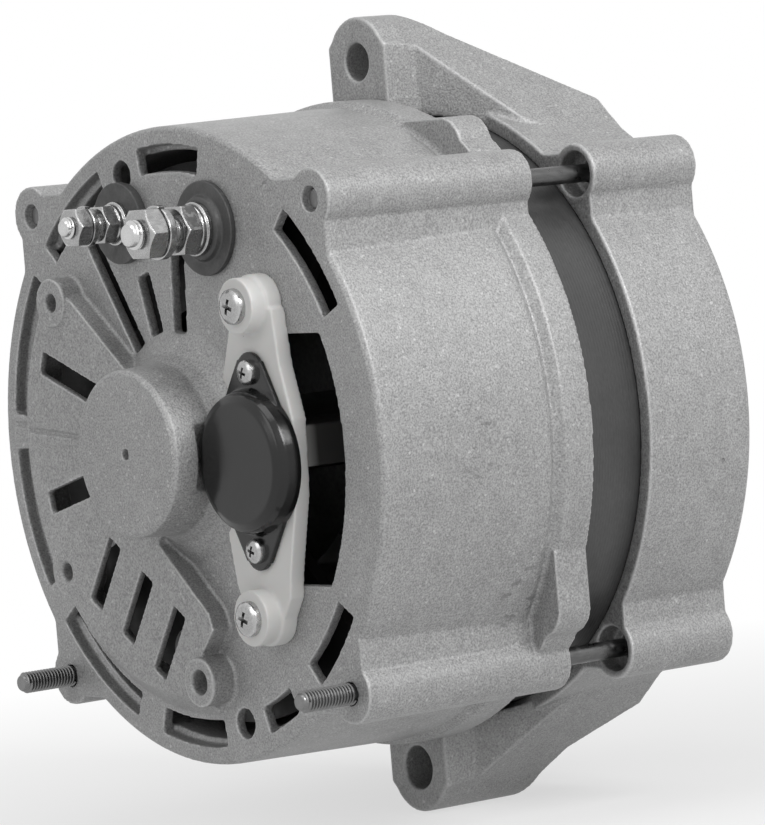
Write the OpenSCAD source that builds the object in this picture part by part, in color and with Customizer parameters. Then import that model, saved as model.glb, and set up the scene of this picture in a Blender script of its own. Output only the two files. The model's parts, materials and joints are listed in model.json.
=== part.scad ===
// Vehicle alternator without its pulley, drawn as an assembly of separate pieces.
// Origin: shaft axis, in the plane of the shoulder that the pulley seats on.
// +Y runs along the shaft to the drive end, +Z is up, +X is right seen from the rear.
// The modules draw in a rear view: x right, y up, and depths count from the rear
// face toward the drive end, so a negative depth stands proud of the rear face.

/* [Housing] */
// Radius of the rear rim
rear_rim_r = 87.2; // [80:0.1:94]
// Radius of the rear housing where its joint flange starts
rear_skirt_r = 88.4; // [82:0.1:95]
// Radius of the joint flange round the rear housing
flange_r = 90.1; // [84:0.1:97]
// Radius of the drive end housing
drive_r = 88.4; // [82:0.1:95]
// Length of the rear housing from its face to the joint
rear_len = 69; // [60:0.5:80]
// Axial length of the joint flange
flange_len = 11; // [8:0.5:14]
// Bare width of the stator between the two housings
stator_gap = 21.5; // [16:0.5:28]
// Length of the drive end housing
drive_len = 37.2; // [34:0.1:44]
// Thickness of the cast end walls
plate_t = 3.2; // [2.4:0.1:4.5]
// Radius of the hollow inside both housings
cavity_r = 80.5; // [76:0.1:82]
// Radius of the circle of through bolts
bolt_circle_r = 92; // [88:0.5:98]
// Radius of the lobe round each through bolt
lobe_r = 8.3; // [7:0.1:10]

/* [Rear Face] */
// Height of the raised left part of the rear face
plateau_h = 6; // [4:0.1:8]
// Radius of the raised part
plateau_r = 67.5; // [64:0.5:70]
// Radius of the rear bearing boss
boss_r = 22.8; // [21:0.1:26]
// Height of the rear bearing boss above the rear face
boss_h = 20; // [18:0.5:24]
// Inner radius of the ring of air slots
slot_in_r = 75; // [72:0.1:77]
// Outer radius of the ring of air slots
slot_out_r = 82.2; // [79:0.1:83]
// Radius of the circle of the three tapped pads
pad_circle_r = 63.8; // [60:0.1:66]
// Radius of the tapped hole in the upper and the side pad
pad_hole_r = 2.5; // [2:0.1:3.4]
// Radius of the tapped hole in the lower pad
low_pad_hole_r = 3.4; // [2.5:0.1:4.2]

/* [Mounting Ears] */
// Height of the upper ear hole above the shaft axis
ear_top_z = 100.5; // [96:0.5:110]
// Depth of the lower ear hole below the shaft axis
ear_bottom_z = 98.2; // [96:0.1:110]
// Outer radius of the ears
ear_r = 12.6; // [11:0.1:15]
// Radius of the upper ear hole
ear_hole_r = 5.25; // [4:0.05:6.5]
// Radius of the lower ear hole
low_ear_hole_r = 6.1; // [4:0.05:6.5]
// Length of each ear hole before its nut seat
ear_len = 22; // [16:0.5:26]

/* [Stator And Rotor] */
// Outer radius of the stator core
stator_r = 84; // [80:0.1:88]
// Bore radius of the stator core
stator_bore_r = 60; // [56:0.1:64]
// Number of stator slots
slot_count = 36; // [24:6:48]
// Depth each housing grips the stator core
seat_len = 8; // [5:0.5:10]
// Air gap between the rotor and the stator
air_gap = 0.4; // [0.3:0.05:0.8]
// Poles on each half of the rotor
claw_count = 6; // [4:1:8]
// Axial length of the rotor over its claws
rotor_len = 46; // [40:1:52]

/* [Shaft And Bearings] */
// Radius of the shaft in the drive end bearing, fan and pulley
shaft_r = 8.5; // [7.5:0.25:10]
// Radius of the shaft in the rear bearing
tail_r = 7.5; // [6:0.25:8]
// Radius of the shaft through the rotor halves
core_shaft_r = 10; // [9:0.25:12]
// Outer radius of the drive end bearing
front_bearing_r = 23.5; // [21:0.5:26]
// Width of the drive end bearing
front_bearing_w = 14; // [11:0.5:16]
// Outer radius of the rear bearing
rear_bearing_r = 17.5; // [16:0.5:18]
// Width of the rear bearing
rear_bearing_w = 11; // [9:0.5:12]
// Outer radius of the fan
fan_r = 68; // [60:1:72]
// Number of fan blades
blade_count = 12; // [8:1:16]
// Length of shaft kept for the pulley
pulley_seat_len = 22; // [16:1:30]

/* [Brush Gear] */
// Radius of the slip rings
slip_ring_r = 14; // [12:0.25:16]
// Axial width of each slip ring
slip_ring_w = 8; // [6:0.5:9]
// Brush size along the shaft
brush_w = 6; // [4.5:0.1:6.5]
// Brush size across the shaft
brush_t = 5; // [4:0.1:6]
// Brush length
brush_len = 17; // [12:0.5:19]
// Distance between the two brush holder screws
holder_pitch = 83.2; // [78:0.1:90]
// Distance between the two regulator screws
regulator_pitch = 47.6; // [44:0.1:52]
// Radius of the regulator can
regulator_r = 19.5; // [17:0.1:21]

/* [Fits] */
// Radial clearance of pieces pressed or clamped together
press_clear = 0.02; // [0.01:0.005:0.03]
// Radial clearance of pieces that slide or turn
run_clear = 0.05; // [0.03:0.01:0.1]
// Radial clearance of screws and studs in plain holes
hole_clear = 0.4; // [0.3:0.05:0.8]

/* [Hidden] */
$fn = 96;
tau = 0.01;

gap_end_d = rear_len + stator_gap;
ear_top_d0 = rear_len + 0.5;
ear_bottom_d0 = rear_len + 1.5;
front_d = gap_end_d + drive_len;
skirt_end_d = rear_len - flange_len;
seat_r = stator_r + press_clear;
stator_d0 = rear_len - seat_len;
stator_d1 = gap_end_d + seat_len;
stator_mid_d = (stator_d0 + stator_d1) / 2;
bolt_x = bolt_circle_r / sqrt(2);
neck_x = bolt_x + lobe_r / sqrt(2);

front_bearing_d1 = front_d - 2.2;
front_bearing_d0 = front_bearing_d1 - front_bearing_w;
retainer_t = 2.5;
rear_bearing_d0 = 4.5 - boss_h;
rear_bearing_d1 = rear_bearing_d0 + rear_bearing_w;
front_pitch_r = (front_bearing_r + shaft_r) / 2;
rear_pitch_r = (rear_bearing_r + tail_r) / 2;
front_ball_r = (front_bearing_r - shaft_r) * 0.29;
rear_ball_r = (rear_bearing_r - tail_r) * 0.3;
race_gap = 0.03;

fan_t = 2;
blade_w = 10.5;
fan_d1 = front_d + 15.3;
fan_d0 = fan_d1 - fan_t;
pulley_end_d = fan_d1 + pulley_seat_len;
shaft_end_d = pulley_end_d + 19;
thread_r = shaft_r - 0.5;
key_w = 5;
key_h = 2.5;

rotor_r = stator_bore_r - air_gap;
rotor_d0 = stator_mid_d - rotor_len / 2;
rotor_d1 = stator_mid_d + rotor_len / 2;
claw_t = 12;
core_r = 27;
sleeve_r = slip_ring_r - 2.5;
sleeve_d0 = 3;
ring_d = [sleeve_d0 + 2.5, sleeve_d0 + 4.5 + slip_ring_w];
sleeve_d1 = ring_d[1] + slip_ring_w + 2.5;

holder_tilt = 3.2;
holder_x = 39;
holder_y = -3.3;
holder_t = 4.7;
holder_boss_h = 9.6;
holder_boss_r = 7.5;
holder_screw_r = 2.5;
regulator_screw_r = 1.75;
regulator_flange_t = 1.5;
can_top_d = -holder_t - 7;
relief_gap = 0.5;
box_x0 = 19;
box_x1 = 52;
channel_x1 = box_x1 - 4;
box_y = brush_t / 2 + 3;
box_d0 = plate_t + 1;
box_d1 = sleeve_d1 + 2;
brush_x0 = slip_ring_r + run_clear;
brush_x1 = brush_x0 + brush_len;

bplus = [18.8, 59];
signal = [-19.6, 61.7];
bolt_r = 3;
bolt_shank_r = bolt_r - 0.5;
bplus_r = 4;
bplus_tip_d = -26.4;
signal_r = 3;
signal_tip_d = -20.7;
bplus_core_r = bplus_r - 0.5;
bplus_tail_d = bplus_tip_d + 2.9;
signal_core_r = signal_r - 0.4;
signal_tail_d = signal_tip_d + 2;
rear_stud_out = 17;

boss_foot_r = boss_r + 9;
pad_r = 6.8;
mark_r = 1.5;

negative_d = 12;
positive_d = 29;
heat_plate_t = 3.5;
plate_in_r = 38;
plate_out_r = 77;
plate_gap_deg = 44;
post_angles = [60, 143, 208, 296];
post_circle_r = 45;
post_screw_r = 2;
plate_hole_r = post_screw_r + hole_clear + 1.5;
diode_r = 6.4;
pad_angles = [140.2, 212.9, 276.9];
pad_hole_ends = [1.6, 1, 2.2];
pad_heights = [1.1, 0.4, 1.7];
pad_chamfers = [0.5, 0.8, 0.5];
slot_arcs = [
    [27, 50], [78, 98], [112, 136.5], [143.8, 173.4], [180.5, 209],
    [217, 246], [254.5, 275.5], [290, 300.5], [309.5, 327]
];

cast_grey = [0.62, 0.63, 0.64];
steel = [0.72, 0.73, 0.75];
dark_steel = [0.32, 0.33, 0.35];
copper = [0.72, 0.4, 0.22];
black_plastic = [0.09, 0.09, 0.1];
white_plastic = [0.9, 0.89, 0.85];

// Stands the rear view up along the shaft axis.
module rear_view() {
    translate([0, -fan_d1, 0]) rotate([90, 0, 0]) children();
}

// Extrudes a rear-view outline between two depths.
module slab(d0, d1) {
    translate([0, 0, -d1]) linear_extrude(d1 - d0) children();
}

// Solid round between two depths.
module disc(d0, d1, r) {
    slab(d0, d1) circle(r = r);
}

// Round tube between two depths.
module tube(d0, d1, r, bore) {
    slab(d0, d1) difference() {
        circle(r = r);
        circle(r = bore);
    }
}

// Turned shape from [radius, depth] points.
module lathe(points) {
    rotate_extrude($fn = 144) polygon([for (p = points) [p[0], -p[1]]]);
}

// Repeats a piece at each given angle.
module at_angles(angles) {
    for (a = angles) rotate(a) children();
}

// Repeats a piece a number of times round the axis.
module around(count) {
    for (i = [0 : count - 1]) rotate(360 * i / count) children();
}

// Repeats a piece on the four through-bolt centres.
module at_bolts() {
    for (x = [-bolt_x, bolt_x]) for (y = [-bolt_x, bolt_x]) translate([x, y]) children();
}

// Wedge-shaped outline from angle a0 to a1, both within one turn.
module wedge(r, a0, a1) {
    steps = ceil((a1 - a0) / 60);
    far = r / cos((a1 - a0) / steps / 2);
    rim = [for (i = [0 : steps]) a0 + (a1 - a0) * i / steps];
    polygon(concat([[0, 0]], [for (a = rim) [far * cos(a), far * sin(a)]]));
}

// Ring slot between two angles.
module arc_slot(r_in, r_out, a0, a1) {
    intersection() {
        difference() {
            circle(r = r_out);
            circle(r = r_in);
        }
        wedge(r_out, a0, a1);
    }
}

// Rectangle from r0 to r1 along one angle.
module radial_slot(a, r0, r1, w) {
    rotate(a) translate([r0, -w / 2]) square([r1 - r0, w]);
}

// Regular hexagon across flats af.
module hexagon(af) {
    circle(r = af / sqrt(3), $fn = 6);
}

// Through-bolt lobes with their necks, joined across the middle.
module lobes_outline() {
    at_bolts() circle(r = lobe_r, $fn = 48);
    polygon([
        [-neck_x, -bolt_x], [-bolt_x, -neck_x], [bolt_x, -neck_x], [neck_x, -bolt_x],
        [neck_x, bolt_x], [bolt_x, neck_x], [-bolt_x, neck_x], [-neck_x, bolt_x]
    ]);
}

// Lug on the joint flange beside each lobe.
module lugs_outline() {
    lug_y = flange_r - 6.8;
    around(4) {
        translate([49.2, lug_y - 8.3]) circle(r = 8.3, $fn = 48);
        polygon([
            [30, lug_y - 12], [34, lug_y], [49.2, lug_y],
            [57, lug_y - 6], [bolt_x, bolt_x + 5], [55, 55]
        ]);
    }
}

// Raised left part of the rear face, moved in by a shift and cut at a radius.
module plateau_outline(r, shift) {
    intersection() {
        circle(r = r);
        translate([-shift, 0]) polygon([
            [-2, 6], [-13, 18.5], [-46, 45.5], [-100, 60], [-100, -100], [5, -100],
            [8, -56], [14, -49], [12.5, -44.5], [4, -37], [-8, -26]
        ]);
    }
}

// Windows through the raised part and the radial slots beside it.
module face_windows() {
    translate([-27.3, 12.8]) rotate(159.2) translate([0, -3.2]) square([32.3, 6.4]);
    radial_slot(194.5, 30, 61, 6.2);
    radial_slot(122.5, 32, 68, 5.4);
    radial_slot(105.5, 32, 49, 5.8);
    radial_slot(86, 31, 56, 6);
    translate([-34.9, -34.8]) rotate(-124) square([21, 6], center = true);
    translate([-20.8, -43.9]) rotate(-124) square([21, 6], center = true);
    translate([-6.9, -53.2]) rotate(-124) square([21, 6], center = true);
}

// Opening that lets the brush holder reach the slip rings.
module holder_window() {
    intersection() {
        circle(r = slot_in_r - 4.2);
        polygon([[27, -12], [34, -34], [34, -36.8], [90, -36.8], [90, 30], [34, 30], [27, 16]]);
    }
}

// Whole outside of the rear housing, before it is hollowed and pierced.
module rear_outside() {
    lathe([
        [0, 0], [rear_rim_r - 1, 0], [rear_rim_r, 1], [rear_skirt_r, skirt_end_d - 2.5],
        [rear_skirt_r - 0.9, skirt_end_d - 1], [flange_r, skirt_end_d + 1.5],
        [flange_r, rear_len], [0, rear_len]
    ]);
    slab(0, rear_len) lobes_outline();
    slab(skirt_end_d, rear_len) lugs_outline();
    lathe([
        [0, -boss_h], [boss_r - 1, -boss_h], [boss_r, 1 - boss_h], [boss_r + 0.7, -7],
        [boss_r + 3, -3.5], [boss_foot_r, 0], [boss_foot_r, plate_t], [0, plate_t]
    ]);
    intersection() {
        lathe([
            [0, -plateau_h], [plateau_r, -plateau_h], [slot_in_r - 1.5, 0],
            [slot_in_r - 1.5, 1], [0, 1]
        ]);
        slab(-plateau_h, 1) plateau_outline(slot_in_r, 0);
    }
    for (i = [0 : 2]) rotate(pad_angles[i]) translate([pad_circle_r, 0])
        disc(-plateau_h - pad_heights[i], 1, pad_r);
    slab(-plateau_h - 0.5, 1) radial_slot(177.3, boss_r - 2, plateau_r - 2, 3.2);
    slab(-0.5, 1) radial_slot(177.3, slot_in_r - 3, slot_out_r, 3.6);
}

// Shallow grooves on both sides of the flat rib that runs left from the boss.
module rib_grooves() {
    for (d = [-plateau_h, 0]) {
        r0 = d < 0 ? boss_r + 3 : plateau_r;
        r1 = d < 0 ? plateau_r + 0.6 : slot_out_r;
        slab(d - 1, d + 0.8) radial_slot(175.3, r0, r1, 1.4);
        slab(d - 1, d + 0.6) radial_slot(179.3, r0, r1, 0.8);
    }
}

// Countersunk tapped hole in pad number i, blind inside the housing.
module pad_hole(i) {
    r = i == 2 ? low_pad_hole_r : pad_hole_r;
    face_d = -plateau_h - pad_heights[i];
    lathe([
        [0, face_d - 1], [r + pad_chamfers[i] + 1, face_d - 1], [r, face_d + pad_chamfers[i]],
        [r, pad_hole_ends[i]], [0, pad_hole_ends[i]]
    ]);
}

module rear_housing() {
    post_r = post_screw_r + 3;
    color(cast_grey) rear_view() {
        difference() {
            rear_outside();
            disc(plate_t, stator_d0, cavity_r);
            disc(stator_d0, rear_len + 1, seat_r);
            slab(2.4 - plateau_h, plate_t + 1) difference() {
                plateau_outline(plateau_r - 3.5, 4);
                circle(r = boss_r + 0.7);
                at_angles(pad_angles) translate([pad_circle_r, 0]) circle(r = pad_r);
                at_angles(post_angles) translate([post_circle_r, 0]) circle(r = post_r);
            }
            slab(-plateau_h - 1, plate_t + 1) face_windows();
            slab(-plateau_h - 1, plate_t + 1) holder_window();
            slab(-1, plate_t + 1) for (s = slot_arcs) arc_slot(slot_in_r, slot_out_r, s[0], s[1]);
            disc(rear_bearing_d0, plate_t + 1, rear_bearing_r + press_clear);
            disc(-boss_h - 1, 3 - boss_h, mark_r);
            on_holder() disc(can_top_d - relief_gap, relief_gap - holder_t, regulator_r + relief_gap);
            at_bolts() disc(-1, rear_len + 1, bolt_r + run_clear);
            for (s = [1, -1]) translate([s * bolt_x, bolt_x]) disc(-1, 2.4, bolt_r + hole_clear);
            rib_grooves();
            for (i = [0 : 2]) rotate(pad_angles[i]) translate([pad_circle_r, 0]) pad_hole(i);
            for (a = [-77.2, 104.5]) rotate(a) translate([pad_circle_r + 13.2, 0]) disc(-1, plate_t + 1, 4.1);
            translate(bplus) disc(-1, plate_t + 1, bplus_r + 2 + press_clear);
            translate(signal) disc(-1, plate_t + 1, signal_r + 1.6 + press_clear);
            for (p = holder_screw_places()) translate(p) disc(-1, plate_t + 1, holder_screw_r + run_clear);
        }
        for (p = holder_screw_places()) translate(p)
            tube(plate_t - tau, plate_t + 6, 5, holder_screw_r + run_clear);
        at_angles(post_angles) translate([post_circle_r, 0])
            tube(plate_t - 1, negative_d, post_r, post_screw_r + run_clear);
    }
}

// Ear with the arm that carries it back from the drive end. The crest lists [depth, height]
// points of the arm's outer edge from the ear to the front.
module ear_arm(z, ear_d0, crest) {
    intersection() {
        slab(ear_d0, front_d) {
            translate([0, z]) circle(r = ear_r, $fn = 64);
            polygon([[-50, 70], [-ear_r * 0.86, z + ear_r * 0.5], [ear_r * 0.86, z + ear_r * 0.5], [50, 70]]);
        }
        rotate([0, 90, 0]) linear_extrude(120, center = true)
            polygon(concat([[front_d, 60], [ear_d0, 60], [ear_d0, z + ear_r + 1]], crest));
        translate([0, 150]) rotate([90, 0, 0]) linear_extrude(120) polygon([
            [-ear_r, -ear_d0], [-ear_r - 1, -ear_d0 - 10], [-38, -gap_end_d - 6], [-50, -front_d],
            [50, -front_d], [38, -gap_end_d - 6], [ear_r + 1, -ear_d0 - 10], [ear_r, -ear_d0]
        ]);
    }
}

// Hole through an ear with the seat for its nut behind.
module ear_bore(ear_d0, r) {
    disc(ear_d0 - 1, front_d + 1, r);
    disc(ear_d0 + ear_len, front_d + 1, 9.65);
}

// Ribs from the bearing hub to the wall of the drive end.
module drive_ribs(hub_r) {
    for (i = [0 : 5]) rotate(60 * i + 30)
        slab(front_d - 10, front_d - 1) translate([hub_r - 2, -2]) square([cavity_r - hub_r + 3, 4]);
}

// Outside of the drive end with its ears, bored for the stator.
module drive_shell() {
    difference() {
        union() {
            lathe([
                [0, gap_end_d], [drive_r, gap_end_d], [drive_r, front_d - 1.5],
                [drive_r - 1.5, front_d], [0, front_d]
            ]);
            slab(gap_end_d, front_d) lobes_outline();
            ear_arm(ear_top_z, ear_top_d0, [[rear_len + 12, ear_top_z + ear_r + 1], [front_d, drive_r - 3.5]]);
            mirror([0, 1, 0]) ear_arm(ear_bottom_z, ear_bottom_d0, [
                [gap_end_d + 11.5, ear_bottom_z + ear_r + 1], [gap_end_d + 19.5, ear_bottom_z - 1],
                [front_d, drive_r - 2]
            ]);
        }
        disc(rear_len - 1, gap_end_d + tau, seat_r + 1.5);
        disc(gap_end_d - 1, stator_d1, seat_r);
        disc(stator_d1 - tau, front_d - plate_t - 1, cavity_r);
    }
}

module drive_housing() {
    hub_r = front_bearing_r + 7;
    hub_d0 = front_bearing_d0;
    color(cast_grey) rear_view() difference() {
        union() {
            drive_shell();
            tube(hub_d0, front_d, hub_r, front_bearing_r - 6);
            drive_ribs(hub_r);
        }
        at_bolts() disc(gap_end_d - 1, front_d + 1, bolt_r + hole_clear);
        at_bolts() disc(gap_end_d - 1, gap_end_d + 6, lobe_r - 2);
        at_bolts() disc(front_d - 6.6, front_d + 1, bolt_r + 2.6);
        disc(hub_d0 - 1, front_bearing_d1, front_bearing_r + press_clear);
        disc(hub_d0 - 1, front_d + 1, front_bearing_r - 4);
        around(12) slab(front_d - plate_t - 2, front_d + 1) arc_slot(hub_r + 8, cavity_r - 12, 4, 26);
        at_retainer_screws() disc(hub_d0 - 1, front_d - plate_t, post_screw_r + run_clear);
        translate([0, ear_top_z]) ear_bore(ear_top_d0, ear_hole_r);
        translate([0, -ear_bottom_z]) ear_bore(ear_bottom_d0, low_ear_hole_r);
    }
}

module stator_slots(w, r0, r1, d0, d1) {
    around(slot_count) slab(d0, d1) translate([r0, -w / 2]) square([r1 - r0, w]);
}

module stator_core() {
    slot_w = stator_bore_r * 0.087;
    color(dark_steel) rear_view() difference() {
        tube(stator_d0, stator_d1, stator_r, stator_bore_r);
        stator_slots(slot_w, stator_bore_r + 1.8, stator_r - 8, stator_d0 - 1, stator_d1 + 1);
        stator_slots(2, stator_bore_r - 1, stator_bore_r + 2, stator_d0 - 1, stator_d1 + 1);
    }
}

module stator_winding() {
    bar_w = stator_bore_r * 0.087 - 2 * run_clear;
    color(copper) rear_view() {
        stator_slots(bar_w, stator_bore_r + 5.2, stator_r - 10.2, stator_d0 - 3, stator_d1 + 3);
        for (d = [stator_d0 - 13, stator_d1 + 2]) lathe([
            [stator_bore_r + 3, d + 1], [stator_bore_r + 5, d],
            [stator_r - 10, d], [stator_r - 8.5, d + 1],
            [stator_r - 8.5, d + 10], [stator_r - 10, d + 11],
            [stator_bore_r + 5, d + 11], [stator_bore_r + 3, d + 10]
        ]);
    }
}

// Threaded end of a bolt or stud with a chamfered tip.
module stud_end(tip_d, end_d, r) {
    lathe([[0, tip_d], [r - 0.6, tip_d], [r, tip_d + 0.6], [r, end_d], [0, end_d]]);
}

// Through bolt with a socket head, its tail ending at depth tail_d. The thread in the rear
// housing and on the free tail is wider than the shank.
module through_bolt(tail_d) {
    head_d0 = front_d - 6.6;
    color(steel) difference() {
        union() {
            disc(tail_d + 2, head_d0 + 1, bolt_shank_r);
            disc(head_d0, front_d - 0.6, bolt_r + 2);
            if (tail_d < 0) stud_end(tail_d, -1, bolt_r);
            stud_end(max(tail_d, 1), 15, bolt_r);
        }
        slab(front_d - 3.6, front_d) hexagon(5);
    }
}

module bolt_top_left() {
    rear_view() translate([-bolt_x, bolt_x]) through_bolt(1.8);
}

module bolt_top_right() {
    rear_view() translate([bolt_x, bolt_x]) through_bolt(1.8);
}

module bolt_bottom_left() {
    rear_view() translate([-bolt_x, -bolt_x]) through_bolt(-rear_stud_out);
}

module bolt_bottom_right() {
    rear_view() translate([bolt_x, -bolt_x]) through_bolt(-rear_stud_out);
}

// Ball track cut as a ring of round section.
module ball_track(d, pitch_r, ball_r) {
    translate([0, 0, -d]) rotate_extrude() translate([pitch_r, 0]) circle(r = ball_r + race_gap, $fn = 48);
}

module race_outer(d0, d1, r, pitch_r, ball_r) {
    color(steel) rear_view() difference() {
        tube(d0, d1, r, pitch_r + ball_r * 0.62);
        ball_track((d0 + d1) / 2, pitch_r, ball_r);
    }
}

module race_inner(d0, d1, bore, pitch_r, ball_r) {
    color(steel) rear_view() difference() {
        tube(d0, d1, pitch_r - ball_r * 0.62, bore + press_clear);
        ball_track((d0 + d1) / 2, pitch_r, ball_r);
    }
}

module bearing_balls(d, pitch_r, ball_r, count) {
    color(steel) rear_view() around(count) translate([pitch_r, 0, -d]) sphere(r = ball_r, $fn = 48);
}

module ball_cage(d, pitch_r, ball_r, count) {
    color([0.75, 0.62, 0.3]) rear_view() difference() {
        tube(d - ball_r * 0.75, d + ball_r * 1.3, pitch_r + ball_r * 0.3, pitch_r - ball_r * 0.3);
        around(count) translate([pitch_r, 0, -d]) sphere(r = ball_r + run_clear, $fn = 48);
    }
}

module front_bearing_outer() {
    race_outer(front_bearing_d0, front_bearing_d1, front_bearing_r, front_pitch_r, front_ball_r);
}

module front_bearing_inner() {
    race_inner(front_bearing_d0, front_bearing_d1, shaft_r, front_pitch_r, front_ball_r);
}

module front_bearing_balls() {
    bearing_balls((front_bearing_d0 + front_bearing_d1) / 2, front_pitch_r, front_ball_r, 7);
}

module front_bearing_cage() {
    ball_cage((front_bearing_d0 + front_bearing_d1) / 2, front_pitch_r, front_ball_r, 7);
}

module rear_bearing_outer() {
    race_outer(rear_bearing_d0, rear_bearing_d1, rear_bearing_r, rear_pitch_r, rear_ball_r);
}

module rear_bearing_inner() {
    race_inner(rear_bearing_d0, rear_bearing_d1, tail_r, rear_pitch_r, rear_ball_r);
}

module rear_bearing_balls() {
    bearing_balls((rear_bearing_d0 + rear_bearing_d1) / 2, rear_pitch_r, rear_ball_r, 8);
}

module rear_bearing_cage() {
    ball_cage((rear_bearing_d0 + rear_bearing_d1) / 2, rear_pitch_r, rear_ball_r, 8);
}

module at_retainer_screws() {
    around(3) translate([front_bearing_r + 3.6, 0]) children();
}

module bearing_retainer() {
    color(dark_steel) rear_view() difference() {
        tube(front_bearing_d0 - retainer_t, front_bearing_d0, front_bearing_r + 6.6, front_bearing_r - 3.5);
        at_retainer_screws()
            disc(front_bearing_d0 - retainer_t - 1, front_bearing_d0 + 1, post_screw_r + hole_clear);
    }
}

module retainer_screws() {
    head_d1 = front_bearing_d0 - retainer_t;
    color(steel) rear_view() at_retainer_screws() {
        disc(head_d1 - tau, front_bearing_d0 + 8, post_screw_r);
        disc(head_d1 - 1.8, head_d1, post_screw_r + 1.5);
    }
}

module rotor_shaft() {
    step_d0 = rotor_d0 + 2;
    color(steel) rear_view() difference() {
        lathe([
            [0, rear_bearing_d0], [tail_r - 0.6, rear_bearing_d0], [tail_r, rear_bearing_d0 + 0.6],
            [tail_r, rear_bearing_d1], [tail_r + 1, rear_bearing_d1], [tail_r + 1, step_d0],
            [core_shaft_r, step_d0], [core_shaft_r, front_bearing_d0], [shaft_r, front_bearing_d0],
            [shaft_r, pulley_end_d], [thread_r, pulley_end_d + 0.5], [thread_r, shaft_end_d - 1],
            [thread_r - 1, shaft_end_d], [0, shaft_end_d]
        ]);
        slab(fan_d1 + 3, pulley_end_d - 2) translate([-key_w / 2 - press_clear, shaft_r - key_h])
            square([key_w + 2 * press_clear, key_h + 1]);
    }
}

module pulley_key() {
    color(dark_steel) rear_view() slab(fan_d1 + 3 + press_clear, pulley_end_d - 2 - press_clear)
        translate([-key_w / 2, shaft_r - key_h + press_clear]) square([key_w, key_h + 2]);
}

module rotor_core() {
    color(dark_steel) rear_view()
        tube(rotor_d0 + claw_t, rotor_d1 - claw_t, core_r, core_shaft_r + press_clear);
}

// One rotor half: a hub plate with tapered claws that reach over the field winding.
module claw_half() {
    root_w = PI * rotor_r / claw_count * 0.98;
    tip_w = root_w * 0.5;
    reach = rotor_len - 4;
    difference() {
        union() {
            tube(0, claw_t, core_r + 10, core_shaft_r + press_clear);
            intersection() {
                tube(0, reach, rotor_r, rotor_r - 10);
                around(claw_count) rotate([0, 90, 0]) linear_extrude(rotor_r + 5) polygon([
                    [0, -root_w / 2], [0, root_w / 2], [claw_t, root_w / 2],
                    [reach, tip_w / 2], [reach, -tip_w / 2], [claw_t, -root_w / 2]
                ]);
            }
            intersection() {
                tube(0, claw_t, rotor_r - 5, core_r);
                around(claw_count) slab(0, claw_t) translate([0, -root_w / 2]) square([rotor_r, root_w]);
            }
        }
        disc(-1, claw_t + 1, core_shaft_r + press_clear);
    }
}

module claw_rear() {
    color([0.4, 0.4, 0.42]) rear_view() translate([0, 0, -rotor_d0]) claw_half();
}

module claw_front() {
    color([0.4, 0.4, 0.42]) rear_view() translate([0, 0, -rotor_d1])
        rotate(180 / claw_count) mirror([0, 0, 1]) claw_half();
}

module field_bobbin() {
    d0 = rotor_d0 + claw_t;
    d1 = rotor_d1 - claw_t;
    color(black_plastic) rear_view() {
        tube(d0, d1, core_r + 1.5, core_r + press_clear);
        tube(d0, d0 + 1.5, rotor_r - 12, core_r + press_clear);
        tube(d1 - 1.5, d1, rotor_r - 12, core_r + press_clear);
    }
}

module field_winding() {
    color(copper) rear_view()
        tube(rotor_d0 + claw_t + 1.5, rotor_d1 - claw_t - 1.5, rotor_r - 13.5, core_r + 1.5 + press_clear);
}

module slip_ring_sleeve() {
    color(black_plastic) rear_view() {
        tube(sleeve_d0, sleeve_d1, sleeve_r, tail_r + 1 + press_clear);
        tube(sleeve_d1 - tau, rotor_d0 - 1, sleeve_r - 1, tail_r + 1 + press_clear);
        tube(sleeve_d1 - 2, sleeve_d1, slip_ring_r, sleeve_r - 1);
    }
}

module slip_rings() {
    color(copper) rear_view() for (d = ring_d) tube(d, d + slip_ring_w, slip_ring_r, sleeve_r + press_clear);
}

module fan() {
    color(dark_steel) rear_view() difference() {
        union() {
            disc(fan_d0, fan_d1, fan_r);
            around(blade_count) translate([fan_r * 0.62, 0]) rotate(28)
                slab(fan_d0 - blade_w, fan_d0 + tau) square([fan_r * 0.35, fan_t]);
        }
        disc(fan_d0 - 1, fan_d1 + 1, shaft_r + press_clear);
        around(6) translate([fan_r * 0.4, 0]) disc(fan_d0 - 1, fan_d1 + 1, 5);
    }
}

module fan_spacer() {
    color(steel) rear_view() tube(front_bearing_d1, fan_d0, shaft_r + 4, shaft_r + press_clear);
}

module shaft_washer() {
    color(steel) rear_view() difference() {
        tube(pulley_end_d + 1, pulley_end_d + 4, thread_r + 5, thread_r + run_clear);
        slab(pulley_end_d, pulley_end_d + 5) translate([0, -1]) square([thread_r + 6, 2]);
    }
}

module shaft_nut() {
    d0 = pulley_end_d + 4;
    color(steel) rear_view() difference() {
        hex_nut(d0, d0 + 9, 24);
        disc(d0 - 1, d0 + 10, thread_r + press_clear);
    }
}

// Horseshoe plate of the rectifier with its mounting holes.
module heat_plate(d0, hole_r) {
    difference() {
        slab(d0, d0 + heat_plate_t) arc_slot(plate_in_r, plate_out_r, plate_gap_deg, 360 - plate_gap_deg);
        at_angles(post_angles) translate([post_circle_r, 0]) disc(d0 - 1, d0 + heat_plate_t + 1, hole_r);
        children();
    }
}

module negative_plate() {
    color([0.7, 0.7, 0.68]) rear_view() heat_plate(negative_d, post_screw_r + hole_clear) {
        translate(bplus) disc(negative_d - 1, negative_d + heat_plate_t + 1, bplus_r + 5);
        translate(signal) disc(negative_d - 1, negative_d + heat_plate_t + 1, signal_r + 5);
        at_diodes(0) disc(negative_d - 1, negative_d + heat_plate_t + 1, diode_r + press_clear);
    }
}

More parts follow.
